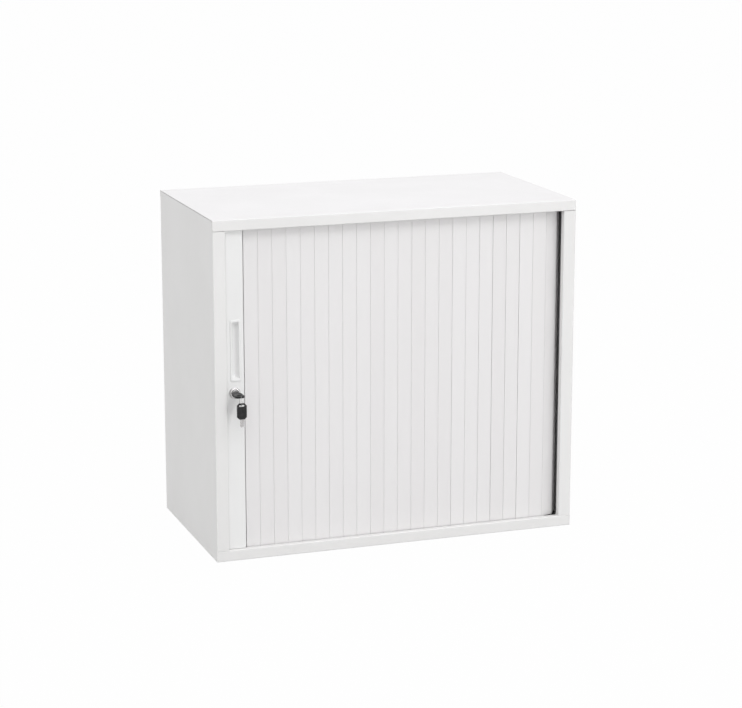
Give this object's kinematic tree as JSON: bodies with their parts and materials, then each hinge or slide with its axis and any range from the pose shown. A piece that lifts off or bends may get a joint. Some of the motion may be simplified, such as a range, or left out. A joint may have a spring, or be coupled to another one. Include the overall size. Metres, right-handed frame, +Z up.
{
  "type": "tambour door cabinet",
  "caption": "Low steel cabinet with a vertical slat curtain that slides sideways round a corner, a recessed pull, a cam lock with keys and one shelf.",
  "frame": {"origin": "under the middle of the carcass, on the plane that it stands on", "axes": "+X to the right seen from the front, +Y from the front to the back, +Z up"},
  "size_m": [0.8, 0.4619, 0.72],
  "materials": {
    "white_steel": "satin powder coat",
    "slat_plastic": "matte",
    "stile_plastic": "satin",
    "black_plastic": "matte",
    "lock_metal": "nickel plate",
    "zinc_steel": "zinc plate",
    "key_plastic": "satin"
  },
  "bodies": {
    "carcass": {"top_panel": "white_steel", "bottom_panel": "white_steel", "left_side": "white_steel", "right_side": "white_steel", "back_panel": "white_steel", "base_channel": "white_steel", "side_liner": "white_steel", "back_liner": "white_steel", "shelf": "white_steel", "shelf_clip_front_left": "zinc_steel", "shelf_clip_front_right": "zinc_steel", "shelf_clip_rear_left": "zinc_steel", "shelf_clip_rear_right": "zinc_steel", "strike_plate": "zinc_steel", "top_track_front": "black_plastic", "top_track_corner": "black_plastic", "top_track_rear": "black_plastic", "bottom_track_front": "black_plastic", "bottom_track_corner": "black_plastic", "bottom_track_rear": "black_plastic"},
    "door_pull": {"lead_stile": "stile_plastic", "stile_shoe_bottom": "black_plastic", "stile_shoe_top": "black_plastic", "handle_cup": "stile_plastic", "lock_rosette": "lock_metal", "lock_housing": "lock_metal", "lock_nut": "zinc_steel"},
    "lock_barrel": {"lock_barrel": "lock_metal", "lock_cam": "zinc_steel", "cam_screw": "zinc_steel"},
    "lock_key": {"key_blade": "lock_metal", "key_bow": "key_plastic"},
    "key_ring": {"key_ring": "lock_metal"},
    "spare_key": {"spare_key_blade": "lock_metal", "spare_key_bow": "key_plastic"},
    "curtain_slat_01": {"slat_01": "slat_plastic"},
    "curtain_slat_02": {"slat_02": "slat_plastic"},
    "curtain_slat_03": {"slat_03": "slat_plastic"},
    "curtain_slat_04": {"slat_04": "slat_plastic"},
    "curtain_slat_05": {"slat_05": "slat_plastic"},
    "curtain_slat_06": {"slat_06": "slat_plastic"},
    "curtain_slat_07": {"slat_07": "slat_plastic"},
    "curtain_slat_08": {"slat_08": "slat_plastic"},
    "curtain_slat_09": {"slat_09": "slat_plastic"},
    "curtain_slat_10": {"slat_10": "slat_plastic"},
    "curtain_slat_11": {"slat_11": "slat_plastic"},
    "curtain_slat_12": {"slat_12": "slat_plastic"},
    "curtain_slat_13": {"slat_13": "slat_plastic"},
    "curtain_slat_14": {"slat_14": "slat_plastic"},
    "curtain_slat_15": {"slat_15": "slat_plastic"},
    "curtain_slat_16": {"slat_16": "slat_plastic"},
    "curtain_slat_17": {"slat_17": "slat_plastic"},
    "curtain_slat_18": {"slat_18": "slat_plastic"},
    "curtain_slat_19": {"slat_19": "slat_plastic"},
    "curtain_slat_20": {"slat_20": "slat_plastic"},
    "curtain_slat_21": {"slat_21": "slat_plastic"},
    "curtain_slat_22": {"slat_22": "slat_plastic"},
    "curtain_slat_23": {"slat_23": "slat_plastic"},
    "curtain_slat_24": {"slat_24": "slat_plastic"},
    "curtain_slat_25": {"slat_25": "slat_plastic"}
  },
  "joints": [
    {"name": "door_slide", "type": "slide", "parent": "carcass", "child": "door_pull", "axis": [1, 0, 0], "range_m": [0, 0.674]},
    {"name": "lock_turn", "type": "hinge", "parent": "door_pull", "child": "lock_barrel", "pos_m": [-0.355, -0.2015, 0.358], "axis": [0, 1, 0], "range_deg": [0, 90]},
    {"name": "key_pull", "type": "slide", "parent": "lock_barrel", "child": "lock_key", "axis": [0, -1, 0], "range_m": [0, 0.03]},
    {"name": "ring_swing", "type": "hinge", "parent": "lock_key", "child": "key_ring", "pos_m": [-0.354, -0.24075, 0.3612], "axis": [0, 1, 0], "range_deg": [-20, 20]},
    {"name": "spare_key_swing", "type": "hinge", "parent": "key_ring", "child": "spare_key", "pos_m": [-0.354, -0.24075, 0.3402], "axis": [0, 1, 0], "range_deg": [-30, 30]},
    {"name": "slat_01_run", "type": "slide", "parent": "carcass", "child": "curtain_slat_01", "axis": [1, 0.0007, 0], "range_m": [0, 0.674], "deforming": ["slat_01"]},
    {"name": "slat_02_run", "type": "slide", "parent": "carcass", "child": "curtain_slat_02", "axis": [1, 0.0009, 0], "range_m": [0, 0.6439], "deforming": ["slat_02"]},
    {"name": "slat_03_run", "type": "slide", "parent": "carcass", "child": "curtain_slat_03", "axis": [1, 0.0011, 0], "range_m": [0, 0.6138], "deforming": ["slat_03"]},
    {"name": "slat_04_run", "type": "slide", "parent": "carcass", "child": "curtain_slat_04", "axis": [1, 0.0014, 0], "range_m": [0, 0.5837], "deforming": ["slat_04"]},
    {"name": "slat_05_run", "type": "slide", "parent": "carcass", "child": "curtain_slat_05", "axis": [1, 0.0016, 0], "range_m": [0, 0.5536], "deforming": ["slat_05"]},
    {"name": "slat_06_run", "type": "slide", "parent": "carcass", "child": "curtain_slat_06", "axis": [1, 0.0019, 0], "range_m": [0, 0.5235], "deforming": ["slat_06"]},
    {"name": "slat_07_run", "type": "slide", "parent": "carcass", "child": "curtain_slat_07", "axis": [1, 0.0022, 0], "range_m": [0, 0.4934], "deforming": ["slat_07"]},
    {"name": "slat_08_run", "type": "slide", "parent": "carcass", "child": "curtain_slat_08", "axis": [1, 0.0026, 0], "range_m": [0, 0.46331], "deforming": ["slat_08"]},
    {"name": "slat_09_run", "type": "slide", "parent": "carcass", "child": "curtain_slat_09", "axis": [1, 0.003, 0], "range_m": [0, 0.43321], "deforming": ["slat_09"]},
    {"name": "slat_10_run", "type": "slide", "parent": "carcass", "child": "curtain_slat_10", "axis": [1, 0.0035, 0], "range_m": [0, 0.4031], "deforming": ["slat_10"]},
    {"name": "slat_11_run", "type": "slide", "parent": "carcass", "child": "curtain_slat_11", "axis": [1, 0.004, 0], "range_m": [0, 0.373], "deforming": ["slat_11"]},
    {"name": "slat_12_run", "type": "slide", "parent": "carcass", "child": "curtain_slat_12", "axis": [1, 0.0047, 0], "range_m": [0, 0.3429], "deforming": ["slat_12"]},
    {"name": "slat_13_run", "type": "slide", "parent": "carcass", "child": "curtain_slat_13", "axis": [1, 0.0054, 0], "range_m": [0, 0.31281], "deforming": ["slat_13"]},
    {"name": "slat_14_run", "type": "slide", "parent": "carcass", "child": "curtain_slat_14", "axis": [1, 0.0064, 0], "range_m": [0, 0.28271], "deforming": ["slat_14"]},
    {"name": "slat_15_run", "type": "slide", "parent": "carcass", "child": "curtain_slat_15", "axis": [1, 0.0075, 0], "range_m": [0, 0.25261], "deforming": ["slat_15"]},
    {"name": "slat_16_run", "type": "slide", "parent": "carcass", "child": "curtain_slat_16", "axis": [1, 0.009, 0], "range_m": [0, 0.22251], "deforming": ["slat_16"]},
    {"name": "slat_17_run", "type": "slide", "parent": "carcass", "child": "curtain_slat_17", "axis": [0.9999, 0.0109, 0], "range_m": [0, 0.19241], "deforming": ["slat_17"]},
    {"name": "slat_18_run", "type": "slide", "parent": "carcass", "child": "curtain_slat_18", "axis": [0.9999, 0.0136, 0], "range_m": [0, 0.16232], "deforming": ["slat_18"]},
    {"name": "slat_19_run", "type": "slide", "parent": "carcass", "child": "curtain_slat_19", "axis": [0.9998, 0.0174, 0], "range_m": [0, 0.13222], "deforming": ["slat_19"]},
    {"name": "slat_20_run", "type": "slide", "parent": "carcass", "child": "curtain_slat_20", "axis": [0.9997, 0.0235, 0], "range_m": [0, 0.10213], "deforming": ["slat_20"]},
    {"name": "slat_21_run", "type": "slide", "parent": "carcass", "child": "curtain_slat_21", "axis": [0.9994, 0.0347, 0], "range_m": [0, 0.07204], "deforming": ["slat_21"]},
    {"name": "slat_22_run", "type": "slide", "parent": "carcass", "child": "curtain_slat_22", "axis": [0.9981, 0.0619, 0], "range_m": [0, 0.04198], "deforming": ["slat_22"]},
    {"name": "slat_23_run", "type": "hinge", "parent": "carcass", "child": "curtain_slat_23", "pos_m": [0.3395, -0.1475, 0.36], "axis": [0, 0, 1], "range_deg": [0, 39], "deforming": ["slat_23"]},
    {"name": "slat_24_run", "type": "hinge", "parent": "carcass", "child": "curtain_slat_24", "pos_m": [0.3395, -0.1475, 0.36], "axis": [0, 0, 1], "range_deg": [0, 29], "deforming": ["slat_24"]},
    {"name": "slat_25_run", "type": "slide", "parent": "carcass", "child": "curtain_slat_25", "axis": [0, 1, 0], "range_m": [0, 0.2], "deforming": ["slat_25"]}
  ],
  "couplings": [
    {"joint": "slat_01_run", "follows": "door_slide", "ratio": 1},
    {"joint": "slat_02_run", "follows": "door_slide", "ratio": 0.95534},
    {"joint": "slat_03_run", "follows": "door_slide", "ratio": 0.91068},
    {"joint": "slat_04_run", "follows": "door_slide", "ratio": 0.86602},
    {"joint": "slat_05_run", "follows": "door_slide", "ratio": 0.82136},
    {"joint": "slat_06_run", "follows": "door_slide", "ratio": 0.7767},
    {"joint": "slat_07_run", "follows": "door_slide", "ratio": 0.73204},
    {"joint": "slat_08_run", "follows": "door_slide", "ratio": 0.68739},
    {"joint": "slat_09_run", "follows": "door_slide", "ratio": 0.64273},
    {"joint": "slat_10_run", "follows": "door_slide", "ratio": 0.59807},
    {"joint": "slat_11_run", "follows": "door_slide", "ratio": 0.55341},
    {"joint": "slat_12_run", "follows": "door_slide", "ratio": 0.50875},
    {"joint": "slat_13_run", "follows": "door_slide", "ratio": 0.4641},
    {"joint": "slat_14_run", "follows": "door_slide", "ratio": 0.41944},
    {"joint": "slat_15_run", "follows": "door_slide", "ratio": 0.37478},
    {"joint": "slat_16_run", "follows": "door_slide", "ratio": 0.33013},
    {"joint": "slat_17_run", "follows": "door_slide", "ratio": 0.28547},
    {"joint": "slat_18_run", "follows": "door_slide", "ratio": 0.24082},
    {"joint": "slat_19_run", "follows": "door_slide", "ratio": 0.19617},
    {"joint": "slat_20_run", "follows": "door_slide", "ratio": 0.15152},
    {"joint": "slat_21_run", "follows": "door_slide", "ratio": 0.10688},
    {"joint": "slat_22_run", "follows": "door_slide", "ratio": 0.06228},
    {"joint": "slat_23_run", "follows": "door_slide", "rad_per_m": 1.0099},
    {"joint": "slat_24_run", "follows": "door_slide", "rad_per_m": 0.75095},
    {"joint": "slat_25_run", "follows": "door_slide", "ratio": 0.29673}
  ]
}
